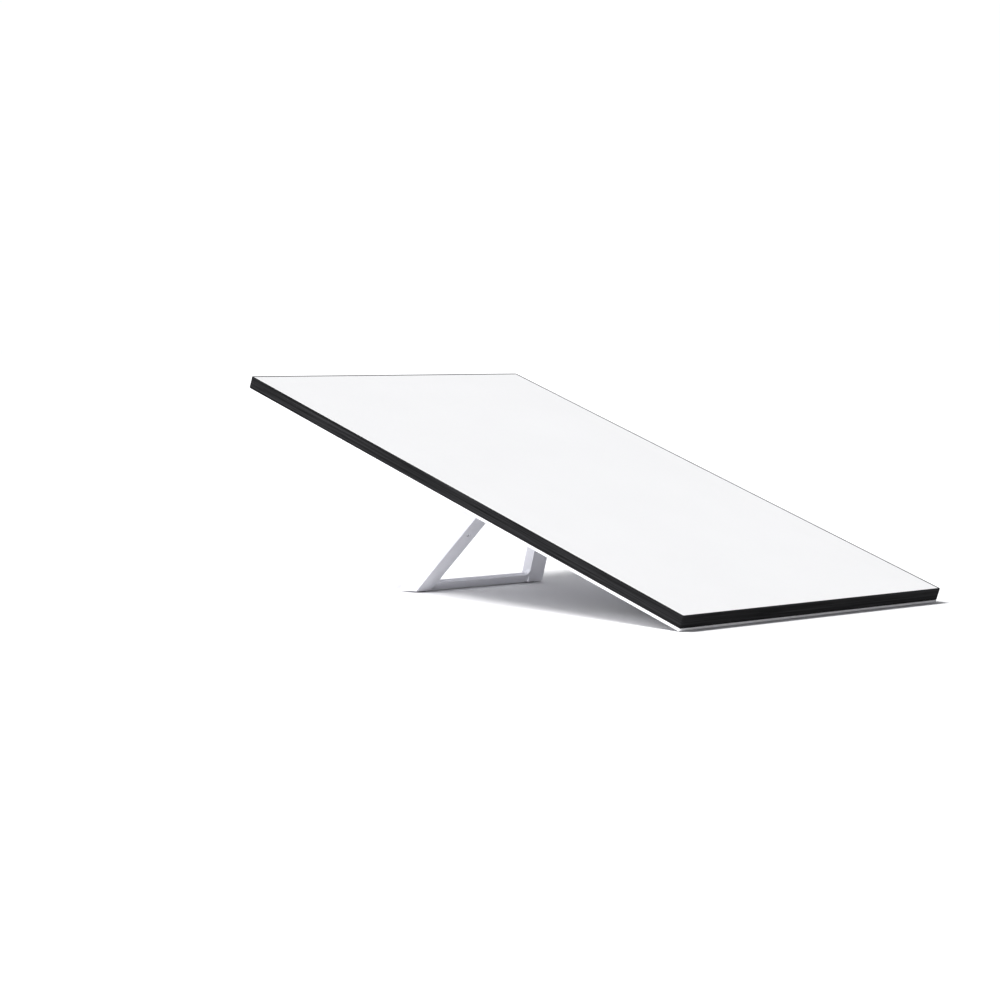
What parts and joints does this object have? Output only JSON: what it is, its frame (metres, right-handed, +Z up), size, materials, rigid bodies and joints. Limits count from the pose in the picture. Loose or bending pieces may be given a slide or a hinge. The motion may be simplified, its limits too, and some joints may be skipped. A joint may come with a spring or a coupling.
{
  "type": "flat-panel satellite antenna",
  "caption": "Flat rectangular satellite antenna, tilted on a fold-out kickstand, with a raised back, a stand pocket, a spring-pin hinge and a cable inlet.",
  "frame": {"origin": "centre of the bounding box's bottom, on the ground, with the stand open", "axes": "+X across the panel, to the right seen from its front; +Y along the ground from the panel's low edge to its high edge; +Z up"},
  "size_m": [0.383, 0.5642, 0.2132],
  "materials": {
    "radome_white": "smooth satin",
    "frame_black": "fine matte texture",
    "cover_white": "fine matte texture",
    "cast_white": "powder coated",
    "spacer_foam": "matte",
    "copper": "bare copper",
    "circuit_board": "solder mask",
    "antenna_ceramic": "matte",
    "chip_black": "moulded",
    "thermal_pad": "matte",
    "plate_aluminium": "as rolled",
    "screw_steel": "satin",
    "shield_steel": "stamped",
    "ferrite": "matte",
    "capacitor_can": "satin",
    "seal_rubber": "matte",
    "vent_grey": "matte",
    "label_grey": "printed film, blank",
    "socket_black": "moulded",
    "contact_brass": "plated",
    "bush_polymer": "smooth",
    "spring_steel": "drawn wire",
    "pin_steel": "ground",
    "button_grey": "moulded"
  },
  "bodies": {
    "panel": {"radome_face": "radome_white", "side_frame": "frame_black", "honeycomb_spacer": "spacer_foam", "antenna_patches": "copper", "antenna_board": "circuit_board", "gnss_antenna": "antenna_ceramic", "beamformer_chips": "chip_black", "thermal_pads": "thermal_pad", "back_plate": "plate_aluminium", "cradle_standoffs": "plate_aluminium", "board_standoffs": "plate_aluminium", "control_board": "circuit_board", "board_screws": "screw_steel", "board_link_connector": "chip_black", "processor": "chip_black", "heat_block": "plate_aluminium", "shield_cans": "shield_steel", "power_inductors": "ferrite", "capacitors": "capacitor_can", "rear_cover": "cover_white", "cable_channel": "cover_white", "perimeter_seal": "seal_rubber", "cover_screws": "screw_steel", "vent_plug": "vent_grey", "rating_label": "label_grey", "inlet_socket": "socket_black", "inlet_contacts": "contact_brass", "inlet_gasket": "seal_rubber", "inlet_lead": "socket_black", "stand_cradle": "cast_white", "pocket_surround": "cover_white", "cradle_screws": "screw_steel", "cradle_gasket": "seal_rubber", "stop_pads": "seal_rubber", "hinge_hub": "cast_white", "hub_screws": "screw_steel", "hub_bushes": "bush_polymer", "pin_spring_left": "spring_steel", "pin_spring_right": "spring_steel"},
    "kickstand": {"kickstand_frame": "cast_white", "foot_pads": "seal_rubber", "leg_bushes": "bush_polymer", "button_sleeves": "bush_polymer", "hinge_washers": "bush_polymer"},
    "release_left": {"hinge_pin_left": "pin_steel", "release_button_left": "button_grey"},
    "release_right": {"hinge_pin_right": "pin_steel", "release_button_right": "button_grey"}
  },
  "joints": [
    {"name": "stand_fold", "type": "hinge", "parent": "panel", "child": "kickstand", "pos_m": [0, 0.08045, 0.11058], "axis": [1, 0, 0], "range_deg": [-104.67, 0]},
    {"name": "release_left_press", "type": "slide", "parent": "kickstand", "child": "release_left", "axis": [1, 0, 0], "range_m": [0, 0.0062], "stiffness_N_per_m": 800, "springref_m": -0.004, "deforming": ["pin_spring_left"]},
    {"name": "release_right_press", "type": "slide", "parent": "kickstand", "child": "release_right", "axis": [-1, 0, 0], "range_m": [0, 0.0062], "stiffness_N_per_m": 800, "springref_m": -0.004, "deforming": ["pin_spring_right"]}
  ]
}
